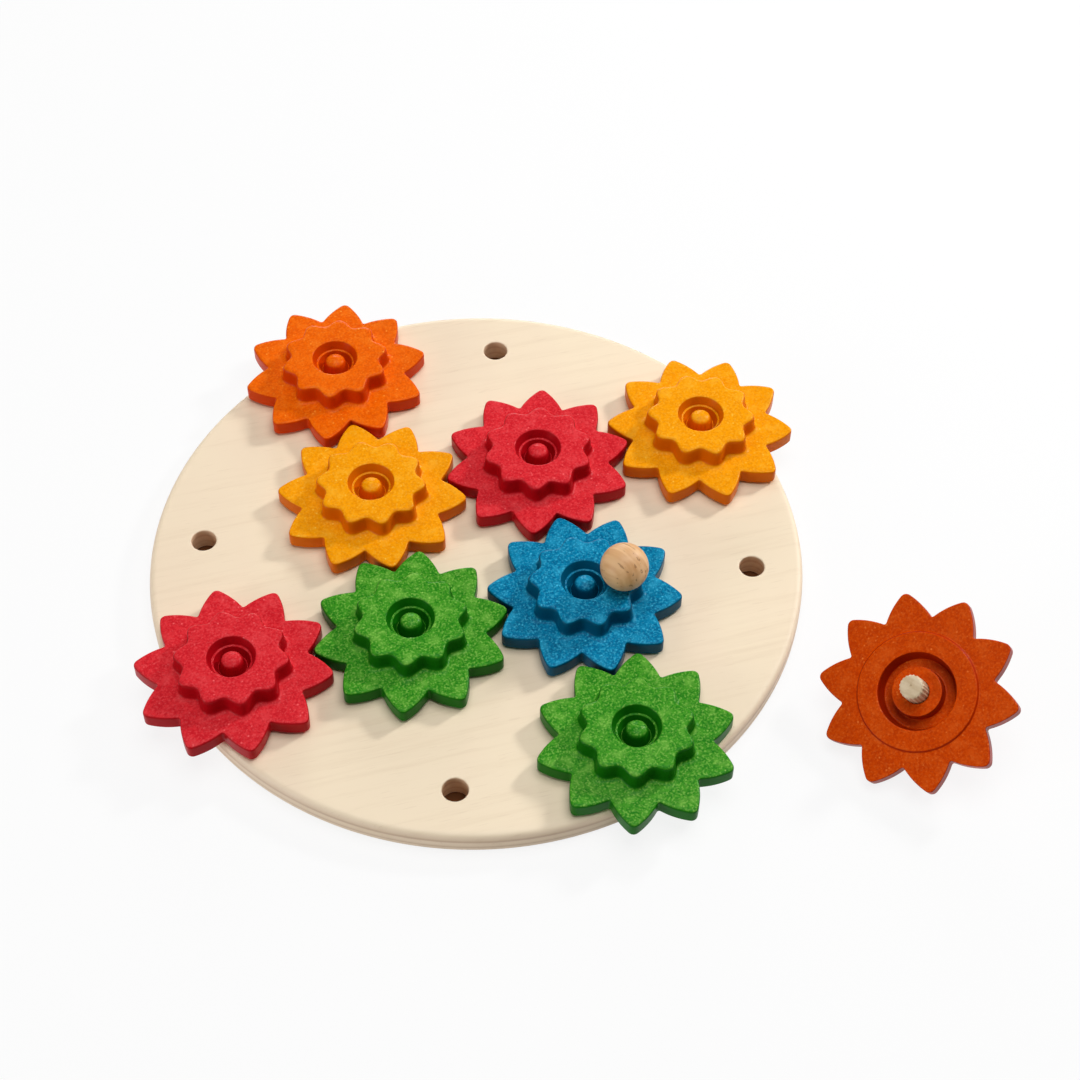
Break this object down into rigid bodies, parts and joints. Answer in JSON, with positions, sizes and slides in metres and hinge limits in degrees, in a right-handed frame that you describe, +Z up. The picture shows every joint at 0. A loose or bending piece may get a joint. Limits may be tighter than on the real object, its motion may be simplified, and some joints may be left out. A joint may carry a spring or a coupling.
{
  "type": "wooden gear board toy",
  "caption": "Round plywood board with peg holes that carry meshed flower-shaped gears turned by a ball knob; one more gear lies beside the board.",
  "frame": {"origin": "centre of the board's underside, which rests on the table", "axes": "+Z up out of the board's face, +Y towards the back row of holes, +X to the right along the rows"},
  "size_m": [0.3656, 0.3366, 0.0512],
  "materials": {
    "plywood": "clear-lacquered pale plywood, layers showing at the edge",
    "orange_composite": "dyed and moulded wood composite with paler flecks, satin",
    "amber_composite": "dyed and moulded wood composite with paler flecks, satin",
    "red_composite": "dyed and moulded wood composite with paler flecks, satin",
    "green_composite": "dyed and moulded wood composite with paler flecks, satin",
    "blue_composite": "dyed and moulded wood composite with paler flecks, satin",
    "rust_composite": "dyed and moulded wood composite with paler flecks, satin",
    "dowel_wood": "bare fluted hardwood dowel",
    "knob_wood": "sanded hardwood ball, clear oiled"
  },
  "bodies": {
    "board": {"board": "plywood"},
    "crank_gear": {"crank_gear": "blue_composite", "crank_gear_peg": "dowel_wood", "knob_stem": "dowel_wood", "knob_ball": "knob_wood"},
    "orange_gear": {"orange_gear": "orange_composite", "orange_gear_peg": "dowel_wood"},
    "amber_gear_left": {"amber_gear_left": "amber_composite", "amber_gear_left_peg": "dowel_wood"},
    "red_gear_back": {"red_gear_back": "red_composite", "red_gear_back_peg": "dowel_wood"},
    "amber_gear_right": {"amber_gear_right": "amber_composite", "amber_gear_right_peg": "dowel_wood"},
    "red_gear_left": {"red_gear_left": "red_composite", "red_gear_left_peg": "dowel_wood"},
    "green_gear_middle": {"green_gear_middle": "green_composite", "green_gear_middle_peg": "dowel_wood"},
    "green_gear_front": {"green_gear_front": "green_composite", "green_gear_front_peg": "dowel_wood"},
    "loose_gear": {"loose_gear": "rust_composite", "loose_gear_peg": "dowel_wood"}
  },
  "joints": [
    {"name": "crank_gear_turn", "type": "hinge", "parent": "board", "child": "crank_gear", "pos_m": [0.04, -0.04, 0.012], "axis": [0, 0, 1], "continuous": true},
    {"name": "orange_gear_turn", "type": "hinge", "parent": "board", "child": "orange_gear", "pos_m": [-0.04, 0.12, 0.012], "axis": [0, 0, 1], "continuous": true},
    {"name": "amber_gear_left_turn", "type": "hinge", "parent": "board", "child": "amber_gear_left", "pos_m": [-0.04, 0.04, 0.012], "axis": [0, 0, 1], "continuous": true},
    {"name": "red_gear_back_turn", "type": "hinge", "parent": "board", "child": "red_gear_back", "pos_m": [0.04, 0.04, 0.012], "axis": [0, 0, 1], "continuous": true},
    {"name": "amber_gear_right_turn", "type": "hinge", "parent": "board", "child": "amber_gear_right", "pos_m": [0.12, 0.04, 0.012], "axis": [0, 0, 1], "continuous": true},
    {"name": "red_gear_left_turn", "type": "hinge", "parent": "board", "child": "red_gear_left", "pos_m": [-0.12, -0.04, 0.012], "axis": [0, 0, 1], "continuous": true},
    {"name": "green_gear_middle_turn", "type": "hinge", "parent": "board", "child": "green_gear_middle", "pos_m": [-0.04, -0.04, 0.012], "axis": [0, 0, 1], "continuous": true},
    {"name": "green_gear_front_turn", "type": "hinge", "parent": "board", "child": "green_gear_front", "pos_m": [0.04, -0.12, 0.012], "axis": [0, 0, 1], "continuous": true},
    {"name": "loose_gear_lift", "type": "slide", "parent": "board", "child": "loose_gear", "axis": [0, 0, 1], "range_m": [0, 0.1]}
  ],
  "couplings": [
    {"joint": "orange_gear_turn", "follows": "crank_gear_turn", "ratio": -1},
    {"joint": "amber_gear_left_turn", "follows": "crank_gear_turn", "ratio": 1},
    {"joint": "red_gear_back_turn", "follows": "crank_gear_turn", "ratio": -1},
    {"joint": "amber_gear_right_turn", "follows": "crank_gear_turn", "ratio": 1},
    {"joint": "red_gear_left_turn", "follows": "crank_gear_turn", "ratio": 1},
    {"joint": "green_gear_middle_turn", "follows": "crank_gear_turn", "ratio": -1},
    {"joint": "green_gear_front_turn", "follows": "crank_gear_turn", "ratio": -1}
  ]
}
